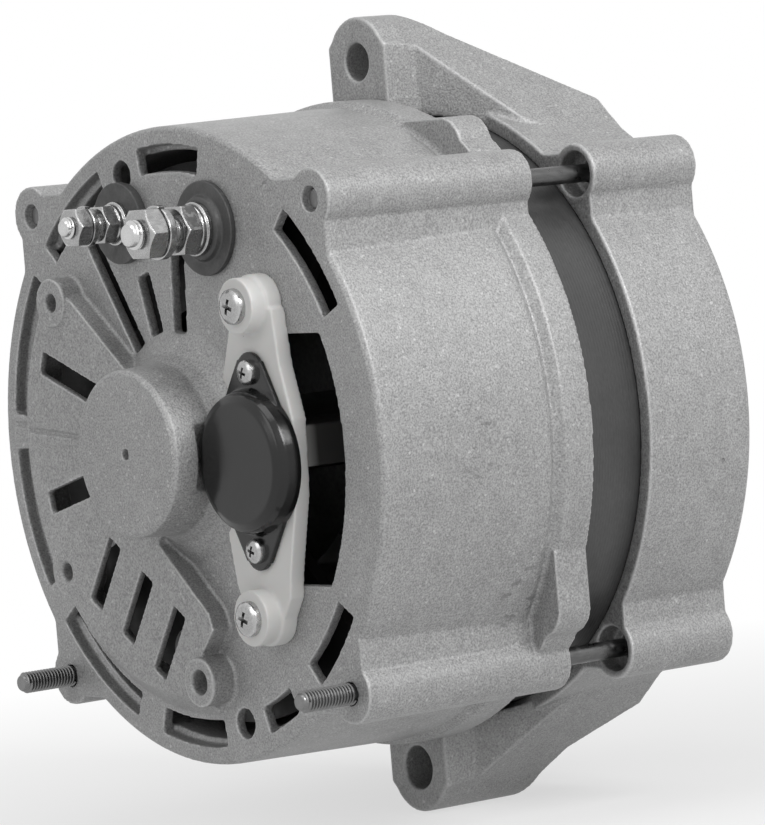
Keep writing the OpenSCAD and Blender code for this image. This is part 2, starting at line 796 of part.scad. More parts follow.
module positive_plate() {
    color([0.7, 0.7, 0.68]) rear_view() heat_plate(positive_d, plate_hole_r) {
        translate(bplus) disc(positive_d - 1, positive_d + heat_plate_t + 1, bplus_core_r + press_clear);
        at_diodes(1) disc(positive_d - 1, positive_d + heat_plate_t + 1, diode_r + press_clear);
    }
}

// Three diode places on each plate, staggered so the leads pass.
module at_diodes(side) {
    at_angles([for (i = [0 : 2]) 156 + 46 * i + side * 22]) translate([plate_out_r - 14, 0]) children();
}

module negative_diodes() {
    color(steel) rear_view() at_diodes(0) {
        disc(negative_d, negative_d + 7.5, diode_r);
        disc(negative_d + 7, positive_d - 3, 1.2);
    }
}

module positive_diodes() {
    color(steel) rear_view() at_diodes(1) {
        disc(positive_d + heat_plate_t - 7.5, positive_d + heat_plate_t, diode_r);
        disc(negative_d + heat_plate_t + 3, positive_d + heat_plate_t - 7, 1.2);
    }
}

module plate_insulators() {
    n1 = negative_d + heat_plate_t;
    p1 = positive_d + heat_plate_t;
    color(white_plastic) rear_view() at_angles(post_angles) translate([post_circle_r, 0]) {
        tube(n1, positive_d, post_screw_r + 3.5, post_screw_r + hole_clear);
        tube(positive_d - tau, p1 + 1.5, plate_hole_r - press_clear, post_screw_r + hole_clear);
        tube(p1, p1 + 1.5, post_screw_r + 3.5, post_screw_r + hole_clear);
    }
}

module plate_screws() {
    head_d0 = positive_d + heat_plate_t + 1.5;
    color(steel) rear_view() at_angles(post_angles) translate([post_circle_r, 0]) {
        disc(negative_d - 7, head_d0 + tau, post_screw_r);
        disc(head_d0, head_d0 + 2.4, post_screw_r + 1.8);
    }
}

module exciter_board() {
    d0 = positive_d + heat_plate_t;
    color([0.12, 0.3, 0.2]) rear_view() {
        slab(d0 + 2.5, d0 + 4.1) arc_slot(plate_in_r + 14, plate_out_r - 2, 100, 250);
        at_angles([115, 170, 235]) translate([plate_in_r + 18, 0]) disc(d0, d0 + 2.6, 2.5);
        at_angles([128, 148, 186, 206]) translate([plate_out_r - 9, 0])
            slab(d0 + 4, d0 + 8) square([5, 9], center = true);
    }
}

module bplus_insulator() {
    color(black_plastic) rear_view() translate(bplus) difference() {
        union() {
            disc(-1.6, 0, 12.8);
            lathe([[0, -3.4], [7.7, -3.4], [8.5, -3], [9, -1.6 + tau], [0, -1.6 + tau]]);
            disc(-tau, plate_t + 4, bplus_r + 2);
        }
        disc(-6, plate_t + 5, bplus_core_r + press_clear);
    }
}

module bplus_stud() {
    color(steel) rear_view() translate(bplus) {
        stud_end(bplus_tip_d, bplus_tail_d, bplus_r);
        disc(bplus_tail_d - tau, positive_d + heat_plate_t + 2.5, bplus_core_r);
        slab(positive_d + heat_plate_t, positive_d + heat_plate_t + 2.5) hexagon(12);
    }
}

module bplus_inner_nut() {
    color(steel) rear_view() translate(bplus) difference() {
        union() {
            disc(-4.8, -3.4, 7.3);
            disc(-6.1, -4.8 + tau, 6.8);
            hex_nut(-11.6, -6.1 + tau, 13);
        }
        disc(-13, -3, bplus_core_r + press_clear);
    }
}

// Hexagon nut blank with its corners chamfered at both ends.
module hex_nut(d0, d1, af) {
    face_r = af * 0.475;
    wide_r = af * 0.6;
    chamfer = (wide_r - face_r) * tan(30);
    intersection() {
        slab(d0, d1) hexagon(af);
        lathe([
            [0, d0], [face_r, d0], [wide_r, d0 + chamfer],
            [wide_r, d1 - chamfer], [face_r, d1], [0, d1]
        ]);
    }
}

// Spring washer with its cut.
module lock_washer(d0, d1, r, bore) {
    difference() {
        tube(d0, d1, r, bore);
        slab(d0 - 1, d1 + 1) rotate(65) translate([0, -0.7]) square([r + 1, 1.4]);
    }
}

module bplus_lock_washer() {
    color(steel) rear_view() translate(bplus) lock_washer(-17.3, -15, 7.3, bplus_core_r + run_clear);
}

module bplus_outer_nut() {
    color(steel) rear_view() translate(bplus) difference() {
        hex_nut(-23.2, -17.3, 13);
        disc(-24, -16, bplus_core_r + press_clear);
    }
}

module signal_insulator() {
    color(black_plastic) rear_view() translate(signal) difference() {
        union() {
            disc(-2.6, 0, 11.2);
            disc(-tau, plate_t + 2, signal_r + 1.6);
        }
        disc(-3, plate_t + 3, signal_core_r + press_clear);
    }
}

module signal_stud() {
    color(steel) rear_view() translate(signal) {
        stud_end(signal_tip_d, signal_tail_d, signal_r);
        disc(signal_tail_d - tau, plate_t + 4.5, signal_core_r);
        slab(plate_t + 2, plate_t + 4.5) hexagon(10);
    }
}

module signal_inner_nut() {
    color(steel) rear_view() translate(signal) difference() {
        union() {
            disc(-3.8, -2.6, 6);
            disc(-5.2, -3.8 + tau, 5.4);
            hex_nut(-9.6, -5.2 + tau, 10);
        }
        disc(-10, -2, signal_core_r + press_clear);
    }
}

module signal_lock_washer() {
    color(steel) rear_view() translate(signal) lock_washer(-13.8, -12.2, 5.6, signal_core_r + run_clear);
}

module signal_outer_nut() {
    color(steel) rear_view() translate(signal) difference() {
        hex_nut(-18.4, -13.8, 10);
        disc(-19, -13, signal_core_r + press_clear);
    }
}

// Place a piece drawn round the regulator centre on the tilted brush holder.
module on_holder() {
    translate([holder_x, holder_y]) rotate(-holder_tilt) children();
}

function on_holder_point(y) = [holder_x + y * sin(holder_tilt), holder_y + y * cos(holder_tilt)];
function holder_screw_places() = [on_holder_point(holder_pitch / 2), on_holder_point(-holder_pitch / 2)];

// Outline of the brush holder's mounting plate.
module holder_outline() {
    for (s = [1, -1]) translate([0, s * holder_pitch / 2]) circle(r = holder_boss_r + 0.6, $fn = 64);
    polygon([
        [-8, 41], [-12, 28], [-16.2, 14], [-16.2, -14], [-12, -34], [-8, -42],
        [8, -42], [11.5, -36], [12, -30], [16.2, -8], [16.2, 12], [11.5, 26], [9, 41]
    ]);
}

module brush_channels() {
    half_w = brush_w / 2 + run_clear;
    half_t = brush_t / 2 + run_clear;
    for (d = ring_d) slab(d + slip_ring_w / 2 - half_w, d + slip_ring_w / 2 + half_w)
        translate([box_x0 - 1, -half_t]) square([channel_x1 - box_x0 + 1, 2 * half_t]);
}

module brush_holder() {
    color(white_plastic) rear_view() difference() {
        union() {
            slab(-holder_t, 0) difference() {
                on_holder() holder_outline();
                circle(r = boss_foot_r + relief_gap);
            }
            for (p = holder_screw_places()) translate(p) disc(-holder_boss_h, -1, holder_boss_r);
            slab(-1, box_d0 + 1) translate([29, -box_y]) square([box_x1 - 29, 2 * box_y]);
            slab(box_d0, box_d1) translate([box_x0, -box_y]) square([box_x1 - box_x0, 2 * box_y]);
        }
        brush_channels();
        for (p = holder_screw_places()) translate(p) disc(-holder_boss_h - 1, 1, holder_screw_r + hole_clear);
        on_holder() for (s = [1, -1]) translate([0, s * regulator_pitch / 2])
            disc(-holder_t - 1, 1, regulator_screw_r + run_clear);
    }
}

// Pan-head screw with a cross recess, its head standing on face_d.
module pan_screw(face_d, length, r, head_r, head_h) {
    dome_r = head_r * 1.35;
    difference() {
        union() {
            disc(face_d - tau, face_d + length, r);
            intersection() {
                disc(face_d - head_h, face_d, head_r);
                translate([0, 0, head_h - face_d - dome_r]) sphere(r = dome_r, $fn = 64);
            }
        }
        for (a = [20, 110]) rotate(a) slab(face_d - head_h - 1, face_d - head_h * 0.45)
            square([head_r * 1.25, head_r * 0.24], center = true);
    }
}

module holder_screws() {
    color(steel) rear_view() for (p = holder_screw_places()) translate(p)
        pan_screw(-holder_boss_h, 16, holder_screw_r, 4.8, 2.8);
}

// Pressed flange under the regulator can, with an ear round each screw.
module regulator_flange() {
    half = regulator_pitch / 2;
    wide = regulator_r - 0.6;
    difference() {
        union() {
            polygon([
                [-5, half + 3.2], [-wide, 4], [-wide, -4], [-5, -half - 3.2],
                [5, -half - 3.2], [wide, -4], [wide, 4], [5, half + 3.2]
            ]);
            for (s = [1, -1]) translate([0, s * half]) circle(r = 5.4, $fn = 48);
        }
        for (s = [1, -1]) translate([0, s * half]) circle(r = regulator_screw_r + run_clear);
    }
}

module regulator() {
    color(black_plastic) rear_view() on_holder() {
        slab(-holder_t - regulator_flange_t, -holder_t) regulator_flange();
        lathe([
            [0, can_top_d], [regulator_r - 3.5, can_top_d], [regulator_r - 1.4, can_top_d + 1],
            [regulator_r - 0.6, can_top_d + 2.6], [regulator_r, -holder_t - regulator_flange_t],
            [regulator_r, -holder_t], [0, -holder_t]
        ]);
    }
}

module regulator_screws() {
    color(steel) rear_view() on_holder() for (s = [1, -1]) translate([0, s * regulator_pitch / 2])
        pan_screw(-holder_t - regulator_flange_t, 5.5, regulator_screw_r, 3.4, 2.4);
}

// Brush block with its end shaped to the slip ring.
module brush(d) {
    color([0.2, 0.19, 0.18]) rear_view() difference() {
        slab(d + (slip_ring_w - brush_w) / 2, d + (slip_ring_w + brush_w) / 2)
            translate([brush_x0 - 1.5, -brush_t / 2]) square([brush_len + 1.5, brush_t]);
        disc(d - 1, d + slip_ring_w + 1, slip_ring_r + run_clear);
    }
}

module brush_rear() {
    brush(ring_d[0]);
}

module brush_front() {
    brush(ring_d[1]);
}

// Compression spring drawn as touching turns behind a brush.
module brush_spring(d) {
    wire_r = 0.5;
    coil_r = brush_t / 2 - 0.8;
    length = channel_x1 - brush_x1;
    turns = ceil(length / (wire_r * 1.8));
    pitch = (length - 2 * wire_r) / turns;
    color(steel) rear_view() translate([brush_x1 + wire_r, 0, -d - slip_ring_w / 2]) rotate([0, 90, 0])
        rotate_extrude($fn = 32) for (i = [0 : turns]) translate([coil_r, i * pitch])
            circle(r = wire_r, $fn = 24);
}

module spring_rear() {
    brush_spring(ring_d[0]);
}

module spring_front() {
    brush_spring(ring_d[1]);
}

rear_housing();
drive_housing();
stator_core();
stator_winding();
bolt_top_left();
bolt_top_right();
bolt_bottom_left();
bolt_bottom_right();
front_bearing_outer();
front_bearing_cage();
front_bearing_balls();
front_bearing_inner();
bearing_retainer();
retainer_screws();
rear_bearing_outer();
rear_bearing_cage();
rear_bearing_balls();
rear_bearing_inner();
rotor_shaft();
rotor_core();
claw_front();
claw_rear();
field_bobbin();
field_winding();
slip_ring_sleeve();
slip_rings();
fan();
fan_spacer();
pulley_key();
shaft_washer();
shaft_nut();
negative_plate();
positive_plate();
negative_diodes();
positive_diodes();
plate_insulators();
plate_screws();
exciter_board();
bplus_insulator();
bplus_stud();
bplus_inner_nut();
bplus_lock_washer();
bplus_outer_nut();
signal_insulator();
signal_stud();
signal_inner_nut();
signal_lock_washer();
signal_outer_nut();
brush_holder();
holder_screws();
regulator();
regulator_screws();
brush_rear();
brush_front();
spring_rear();
spring_front();
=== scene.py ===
# Vehicle alternator without its pulley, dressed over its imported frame.
# The rear face looks toward -Y, the drive end toward +Y, and the shaft axis is the Y axis.
import json
import math

import bmesh
import bpy
from mathutils import Matrix, Vector

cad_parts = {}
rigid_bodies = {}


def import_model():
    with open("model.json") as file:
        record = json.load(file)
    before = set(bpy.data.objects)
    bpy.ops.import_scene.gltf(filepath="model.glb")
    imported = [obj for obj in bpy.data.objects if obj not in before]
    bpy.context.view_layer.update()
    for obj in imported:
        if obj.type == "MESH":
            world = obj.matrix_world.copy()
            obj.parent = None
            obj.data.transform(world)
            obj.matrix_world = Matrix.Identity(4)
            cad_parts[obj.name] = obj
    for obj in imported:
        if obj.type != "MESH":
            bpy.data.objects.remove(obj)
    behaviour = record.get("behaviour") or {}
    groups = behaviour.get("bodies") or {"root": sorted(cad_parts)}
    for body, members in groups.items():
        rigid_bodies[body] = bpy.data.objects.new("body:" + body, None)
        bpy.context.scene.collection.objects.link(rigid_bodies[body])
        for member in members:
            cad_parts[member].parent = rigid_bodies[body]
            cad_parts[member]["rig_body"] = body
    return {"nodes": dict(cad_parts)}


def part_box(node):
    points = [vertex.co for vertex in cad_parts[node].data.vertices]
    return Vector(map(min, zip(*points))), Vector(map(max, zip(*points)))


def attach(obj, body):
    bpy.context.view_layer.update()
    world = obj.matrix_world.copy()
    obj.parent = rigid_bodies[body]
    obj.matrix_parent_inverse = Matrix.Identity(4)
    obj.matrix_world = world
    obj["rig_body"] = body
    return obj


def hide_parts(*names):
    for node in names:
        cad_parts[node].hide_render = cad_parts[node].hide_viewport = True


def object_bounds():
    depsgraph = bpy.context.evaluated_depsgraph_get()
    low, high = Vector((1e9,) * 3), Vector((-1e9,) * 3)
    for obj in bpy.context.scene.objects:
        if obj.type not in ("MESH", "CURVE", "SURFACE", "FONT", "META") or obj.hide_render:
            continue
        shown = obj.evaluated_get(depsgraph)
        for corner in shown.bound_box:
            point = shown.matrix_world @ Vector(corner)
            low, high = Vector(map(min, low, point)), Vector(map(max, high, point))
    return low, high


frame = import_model()
cad_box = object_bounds()
nodes = frame["nodes"]
MM = 0.001


# Camera. It looks at the rear face from its right, far off with a long lens and a little
# above the shaft, and it is rolled as the picture is.
AIM = Vector((17.4, -88.0, 3.7)) * MM
AZIMUTH, ELEVATION, ROLL = math.radians(52.34), math.radians(3.35), math.radians(-4.75)
DISTANCE = 1.378
LENS_MM = 218.2

back = Vector((
    math.sin(AZIMUTH) * math.cos(ELEVATION),
    -math.cos(AZIMUTH) * math.cos(ELEVATION),
    math.sin(ELEVATION),
))
right = Vector((0, 0, 1)).cross(back).normalized()
upward = back.cross(right)
rolled_right = right * math.cos(ROLL) + upward * math.sin(ROLL)
rolled_up = upward * math.cos(ROLL) - right * math.sin(ROLL)
lens = bpy.data.cameras.new("camera")
lens.sensor_fit = "VERTICAL"
lens.sensor_height = 36
lens.lens = LENS_MM
camera = bpy.data.objects.new("camera", lens)
camera.matrix_world = Matrix.Translation(AIM + back * DISTANCE) @ Matrix((
    (rolled_right.x, rolled_up.x, back.x, 0),
    (rolled_right.y, rolled_up.y, back.y, 0),
    (rolled_right.z, rolled_up.z, back.z, 0),
    (0, 0, 0, 1),
))
bpy.context.scene.collection.objects.link(camera)
bpy.context.scene.camera = camera


# Rear housing and drive end housing. Both are sand castings of bare aluminium with a fine grain,
# soft edges and a few casting pits; the glints, the edge highlights and the shade in the pits are painted.
class Finish:
    """A procedural material that is built up node by node on Object coordinates."""

    def __init__(self, name, colour, rough, metal=0.0):
        self.material = bpy.data.materials.new(name)
        self.material.use_nodes = True
        self.tree = self.material.node_tree
        self.shader = self.tree.nodes["Principled BSDF"]
        self.shader.inputs["Metallic"].default_value = metal
        self.where = self.tree.nodes.new("ShaderNodeTexCoord").outputs["Object"]
        self.colour = self.rgba(colour)
        self.rough = rough
        self.height = None

    def node(self, kind, **settings):
        made = self.tree.nodes.new(kind)
        for key, setting in settings.items():
            setattr(made, key, setting)
        return made

    def plug(self, source, socket):
        if isinstance(source, bpy.types.NodeSocket):
            self.tree.links.new(source, socket)
        else:
            socket.default_value = source

    def rgba(self, colour):
        """A grey given as one number, or a colour given as three, with an alpha of 1."""
        return (colour,) * 3 + (1,) if isinstance(colour, float) else (*colour, 1)

    def noise(self, per_metre, detail=2.0, stretch=(1, 1, 1), offset=(0, 0, 0)):
        made = self.node("ShaderNodeTexNoise")
        mapping = self.node("ShaderNodeMapping")
        mapping.inputs["Scale"].default_value = stretch
        mapping.inputs["Location"].default_value = offset
        self.plug(self.where, mapping.inputs["Vector"])
        self.plug(mapping.outputs["Vector"], made.inputs["Vector"])
        made.inputs["Scale"].default_value = per_metre
        made.inputs["Detail"].default_value = detail
        return made.outputs["Fac"]

    def cells(self, per_metre, output="Color"):
        made = self.node("ShaderNodeTexVoronoi")
        self.plug(self.where, made.inputs["Vector"])
        made.inputs["Scale"].default_value = per_metre
        return made.outputs[output]

    def ramp(self, source, low, high, bottom=0.0, top=1.0):
        made = self.node("ShaderNodeMapRange")
        self.plug(source, made.inputs["Value"])
        made.inputs["From Min"].default_value = low
        made.inputs["From Max"].default_value = high
        made.inputs["To Min"].default_value = bottom
        made.inputs["To Max"].default_value = top
        return made.outputs["Result"]

    def maths(self, operation, first, second=0.0):
        made = self.node("ShaderNodeMath", operation=operation)
        self.plug(first, made.inputs[0])
        self.plug(second, made.inputs[1])
        return made.outputs[0]

    def tint(self, amount, colour):
        """Lays a colour over what is there, by an amount from a texture."""
        made = self.node("ShaderNodeMix", data_type="RGBA", blend_type="MIX")
        self.plug(amount, made.inputs["Factor"])
        self.plug(self.colour, made.inputs["A"])
        self.plug(self.rgba(colour), made.inputs["B"])
        self.colour = made.outputs["Result"]

    def shade(self, source, spread):
        """Brightens and darkens the colour evenly about itself."""
        made = self.node("ShaderNodeMix", data_type="RGBA", blend_type="MULTIPLY")
        grey = self.ramp(source, 0.3, 0.7, 1 - spread, 1 + spread)
        made.inputs["Factor"].default_value = 1
        made.clamp_factor = False
        self.plug(self.colour, made.inputs["A"])
        self.plug(grey, made.inputs["B"])
        self.colour = made.outputs["Result"]

    def roughen(self, source, spread):
        self.rough = self.maths("ADD", self.rough, self.ramp(source, 0.3, 0.7, -spread, spread))

    def raise_by(self, source, depth_mm):
        height = self.maths("MULTIPLY", source, depth_mm * MM)
        self.height = height if self.height is None else self.maths("ADD", self.height, height)

    def edges(self):
        """How far a point stands on an outer edge, from 0 to 1."""
        return self.ramp(self.node("ShaderNodeNewGeometry").outputs["Pointiness"], 0.515, 0.57)

    def done(self, **sockets):
        for name, number in sockets.items():
            self.shader.inputs[name.replace("_", " ")].default_value = number
        self.plug(self.colour, self.shader.inputs["Base Color"])
        self.plug(self.rough, self.shader.inputs["Roughness"])
        if self.height is not None:
            bump = self.node("ShaderNodeBump")
            bump.inputs["Distance"].default_value = 1
            self.plug(self.height, bump.inputs["Height"])
            self.plug(bump.outputs["Normal"], self.shader.inputs["Normal"])
        return self.material


def cast_aluminium(name, base):
    made = Finish(name, base, 0.52, metal=0.35)
    grain = made.noise(1950, 1.5)
    made.shade(made.noise(14, 3.0), 0.06)
    made.shade(made.noise(160, 3.0), 0.06)
    made.shade(grain, 0.32)
    # Painted glints: bright specks in the colour stand in for the sparkle of reflections.
    painted_glint = made.ramp(made.cells(1700), 0.84, 0.97)
    made.tint(made.maths("MULTIPLY", painted_glint, 0.36), 0.85)
    # The edges are lightened by a painted highlight.
    made.tint(made.maths("MULTIPLY", made.edges(), 0.8), 0.70)
    pits = made.ramp(made.cells(230, "Distance"), 0.16, 0.10)
    rare = made.ramp(made.noise(24, 2.0, offset=(3, 1, 2)), 0.70, 0.74)
    hollow = made.maths("MULTIPLY", pits, rare)
    # The pits are darkened with painted shade, on top of the dent that the bump below gives them.
    made.tint(made.maths("MULTIPLY", hollow, 0.7), 0.12)
    scuffs = made.ramp(made.noise(210, 4.0, stretch=(1, 1, 2.2)), 0.60, 0.66)
    handled = made.ramp(made.noise(17, 1.0, offset=(0.4, 2, 5)), 0.63, 0.70)
    made.tint(made.maths("MULTIPLY", made.maths("MULTIPLY", scuffs, handled), 0.5), 0.10)
    made.roughen(grain, 0.10)
    made.raise_by(grain, 0.10)
    made.raise_by(made.noise(420, 2.0), 0.07)
    made.raise_by(hollow, -0.5)
    return made.done()


WELD = 0.01 * MM
MOST_TRIANGLES = 190_000


def soften(node, voxel_mm, rounds):
    """Gives a piece the rounded edges of a casting or moulding, from a fine remesh of its solid."""
    piece = bpy.data.objects.new(node + "_finish", nodes[node].data.copy())
    bpy.context.scene.collection.objects.link(piece)
    mesh = bmesh.new()
    mesh.from_mesh(piece.data)
    bmesh.ops.remove_doubles(mesh, verts=mesh.verts, dist=WELD)
    mesh.to_mesh(piece.data)
    mesh.free()
    remesh = piece.modifiers.new("remesh", "REMESH")
    remesh.mode = "VOXEL"
    remesh.voxel_size = voxel_mm * MM
    smooth = piece.modifiers.new("smooth", "SMOOTH")
    smooth.factor = 0.5
    smooth.iterations = rounds
    settle(piece)
    triangles = len(piece.data.polygons) * 2
    if triangles > MOST_TRIANGLES:
        thin = piece.modifiers.new("thin", "DECIMATE")
        thin.ratio = MOST_TRIANGLES / triangles
        settle(piece)
    piece.data.polygons.foreach_set("use_smooth", [True] * len(piece.data.polygons))
    return piece


def settle(piece):
    """Applies a piece's modifiers to its mesh."""
    bpy.context.view_layer.update()
    shape = piece.evaluated_get(bpy.context.evaluated_depsgraph_get())
    finished = bpy.data.meshes.new_from_object(shape)
    piece.modifiers.clear()
    piece.data = finished


def body_of(node):
    return nodes[node]["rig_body"]


def dress(piece, node, material):
    """Puts a finished piece in the place of its CAD node."""
    piece.data.materials.clear()
    piece.data.materials.append(material)
    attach(piece, body_of(node))
    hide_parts(node)


casting = cast_aluminium("sand_cast_aluminium", 0.35)
dress(soften("rear_housing", voxel_mm=0.5, rounds=4), "rear_housing", casting)
dress(soften("drive_housing", voxel_mm=0.6, rounds=3), "drive_housing", casting)


# Stator core. A stack of steel laminations, its bare band painted dark. It keeps its own solid,
# and the through bolts clamp it between the flanges of the two housings.
def paint(node, material):
    """Gives a piece that keeps its own solid the finish of the real one."""
    piece = nodes[node]
    piece.data.materials.clear()
    piece.data.materials.append(material)


def banded(made, per_metre):
    """Even bands across the shaft axis, as many to the metre as are asked for."""
    bands = made.node("ShaderNodeTexWave", bands_direction="Y")
    made.plug(made.where, bands.inputs["Vector"])
    bands.inputs["Scale"].default_value = per_metre * math.tau / 20
    return bands.outputs["Fac"]


laminations = Finish("painted_laminations", 0.055, 0.45, metal=0.1)
laminations.shade(laminations.noise(40, 3.0), 0.18)
laminations.shade(laminations.noise(700, 2.0, stretch=(1, 6, 1)), 0.16)
laminations.roughen(laminations.noise(300), 0.08)
laminations.raise_by(banded(laminations, 1000), 0.02)
paint("stator_core", laminations.done())


# Stator and field windings. Copper wire under amber varnish, wound in even turns. One lies in
# the slots of the stator core, and the other on the bobbin between the claws.
copper = Finish("varnished_copper", (0.20, 0.085, 0.035), 0.36, metal=0.6)
copper.shade(copper.noise(900, 2.0, stretch=(1, 0.15, 1)), 0.22)
copper.shade(copper.noise(60, 3.0), 0.2)
copper.raise_by(banded(copper, 900), 0.25)
copper.roughen(copper.noise(400), 0.1)
copper_finish = copper.done(Coat_Weight=0.3)
for node in ("stator_winding", "field_winding"):
    paint(node, copper_finish)


# Through bolts, rotor shaft and small steel pieces. They are of plain oiled steel. The lower two
# bolts run on as threaded studs behind the rear face, and the shaft ends in a thread for its nut.
def steel(name, base, rough):
    made = Finish(name, base, rough, metal=1.0)
    made.shade(made.noise(45, 3.0), 0.12)
    made.shade(made.noise(1800, 2.0, stretch=(1, 0.2, 1)), 0.12)
    # The edges are lightened, a painted highlight.
    made.tint(made.maths("MULTIPLY", made.edges(), 0.5), min(2.2 * base, 0.9))
    made.roughen(made.noise(500, 3.0), 0.12)
    made.raise_by(made.noise(2500, 2.0), 0.02)
    return made.done()


TURN_STEPS = 48
SEAM = 0.005 * MM


def turned(mesh, outline, middle):
    """Spins a [radius, y] outline in millimetres all round the line y through middle."""
    before = set(mesh.verts)
    line = [mesh.verts.new((radius * MM, y * MM, 0)) for radius, y in outline]
    edges = [mesh.edges.new(pair) for pair in zip(line, line[1:])]
    bmesh.ops.spin(
        mesh, geom=line + edges, cent=(0, 0, 0), axis=(0, 1, 0), angle=math.tau,
        steps=TURN_STEPS, use_merge=True,
    )
    fresh = [v for v in mesh.verts if v not in before]
    bmesh.ops.remove_doubles(mesh, verts=fresh, dist=SEAM)
    fresh = [v for v in mesh.verts if v not in before]
    bmesh.ops.translate(mesh, verts=fresh, vec=middle)


THREAD_STEPS = 28
THREAD_DEPTH = 0.62


def thread(mesh, radius, pitch, tip, end, middle):
    """Winds one ridge of a screw thread round the line y through middle, from tip to end."""
    before = set(mesh.verts)
    root = radius - THREAD_DEPTH * pitch
    way = 1 if end > tip else -1
    turns = (abs(end - tip) - 1.6 * pitch) / pitch
    start = tip + way * 0.5 * pitch
    corners = [
        (root - 0.3, start), (root, start), (radius, start + way * 0.42 * pitch),
        (radius, start + way * 0.56 * pitch), (root, start + way * pitch), (root - 0.3, start + way * pitch),
    ]
    ring = [mesh.verts.new((r * MM, y * MM, 0)) for r, y in corners]
    edges = [mesh.edges.new(pair) for pair in zip(ring, ring[1:] + ring[:1])]
    bmesh.ops.spin(
        mesh, geom=ring + edges, cent=(0, 0, 0), axis=(0, 1, 0), angle=-way * math.tau * turns,
        dvec=(0, way * pitch * MM / THREAD_STEPS, 0), steps=round(turns * THREAD_STEPS),
    )
    open_edges = [e for e in mesh.edges if e.is_boundary]
    bmesh.ops.holes_fill(mesh, edges=open_edges, sides=8)
    fresh = [v for v in mesh.verts if v not in before]
    bmesh.ops.translate(mesh, verts=fresh, vec=middle)


def threaded(node, radius, pitch, tip, cut):
    """Replaces the plain tail of a stud, from cut to tip, by a core with a real thread."""
    low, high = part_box(node)
    middle = Vector(((low.x + high.x) / 2, 0, (low.z + high.z) / 2))
    mesh = bmesh.new()
    mesh.from_mesh(nodes[node].data)
    bmesh.ops.remove_doubles(mesh, verts=mesh.verts, dist=WELD)
    way = 1 if cut > tip else -1
    bmesh.ops.bisect_plane(
        mesh, geom=mesh.verts[:] + mesh.edges[:] + mesh.faces[:], plane_co=(0, cut * MM, 0),
        plane_no=(0, way, 0), clear_inner=True,
    )
    bmesh.ops.holes_fill(mesh, edges=[e for e in mesh.edges if e.is_boundary], sides=0)
    core = radius - THREAD_DEPTH * pitch
    turned(mesh, [
        (0, tip), (core - 0.35, tip), (core, tip + way * 0.5),
        (core, cut + way * 0.2), (0, cut + way * 0.2),
    ], middle)
    thread(mesh, radius, pitch, tip, cut, middle)
    bmesh.ops.recalc_face_normals(mesh, faces=mesh.faces)
    shape = bpy.data.meshes.new(node + "_threaded")
    mesh.to_mesh(shape)
    mesh.free()
    piece = bpy.data.objects.new(node + "_threaded", shape)
    bpy.context.scene.collection.objects.link(piece)
    smooth_by_angle(piece, 35)
    return piece


def smooth_by_angle(piece, degrees):
    """Shades round faces smooth, and keeps the edges sharper than an angle."""
    mesh = bmesh.new()
    mesh.from_mesh(piece.data)
    limit = math.radians(degrees)
    for face in mesh.faces:
        face.smooth = True
    for edge in mesh.edges:
        edge.smooth = edge.is_manifold and edge.calc_face_angle(0) < limit
    mesh.to_mesh(piece.data)
    mesh.free()


plain_steel = steel("oiled_steel", 0.13, 0.36)
zinc = steel("bright_zinc", 0.36, 0.24)
REAR_FACE = -143.0
SMALL_THREAD = {"radius": 3.0, "pitch": 1.0}
LARGE_THREAD = {"radius": 4.0, "pitch": 1.25}
SHAFT_THREAD = {"radius": 8.0, "pitch": 1.5}
for node in ("bolt_bottom_left", "bolt_bottom_right"):
    dress(threaded(node, **SMALL_THREAD, tip=REAR_FACE - 17, cut=REAR_FACE + 0.5), node, plain_steel)
for node in ("bolt_top_left", "bolt_top_right", "fan_spacer", "pulley_key", "bearing_retainer"):
    paint(node, plain_steel)
dress(threaded("rotor_shaft", **SHAFT_THREAD, tip=41, cut=24), "rotor_shaft", plain_steel)


# Terminals. Each is a plated stud in a dark moulded insulator, with an inner nut on a washer
# face, a split spring washer and an outer nut. The slip ring sleeve and the field bobbin are of
# the same dark moulding.
dark_moulding = Finish("dark_moulding", 0.062, 0.5)
dark_moulding.shade(dark_moulding.noise(70, 3.0), 0.2)
dark_moulding.shade(dark_moulding.noise(1500), 0.15)
# The edges are lightened, a painted highlight.
dark_moulding.tint(dark_moulding.maths("MULTIPLY", dark_moulding.edges(), 0.3), 0.2)
dark_moulding.roughen(dark_moulding.noise(350), 0.1)
dark_moulding.raise_by(dark_moulding.noise(900), 0.03)
dark_finish = dark_moulding.done()
for node in ("bplus_insulator", "signal_insulator"):
    dress(soften(node, voxel_mm=0.25, rounds=2), node, dark_finish)
for node in ("slip_ring_sleeve", "field_bobbin"):
    paint(node, dark_finish)
THREAD_START = REAR_FACE - 3
for node, size, tip in (
    ("bplus_stud", LARGE_THREAD, REAR_FACE - 26.4), ("signal_stud", SMALL_THREAD, REAR_FACE - 20.7)
):
    dress(threaded(node, **size, tip=tip, cut=THREAD_START), node, zinc)
for node in ("bplus_inner_nut", "bplus_lock_washer", "bplus_outer_nut",
             "signal_inner_nut", "signal_lock_washer", "signal_outer_nut"):
    dress(soften(node, voxel_mm=0.16, rounds=2), node, zinc)


# Screws, shaft nut and shaft washer. They are of zinc-plated steel. The pan heads on the brush
# holder and the regulator are turned anew, each with a tapered cross recess cut into it.
def islands(mesh):
    """The middle, in x and z, of each separate solid of a mesh."""
    waiting = set(mesh.verts)
    middles = []
    while waiting:
        border = [waiting.pop()]
        seen = []
        while border:
            vert = border.pop()
            seen.append(vert.co)
            for near in (edge.other_vert(vert) for edge in vert.link_edges):
                if near in waiting:
                    waiting.remove(near)
                    border.append(near)
        middles.append(Vector((
            (min(co.x for co in seen) + max(co.x for co in seen)) / 2, 0,
            (min(co.z for co in seen) + max(co.z for co in seen)) / 2,
        )))
    return middles


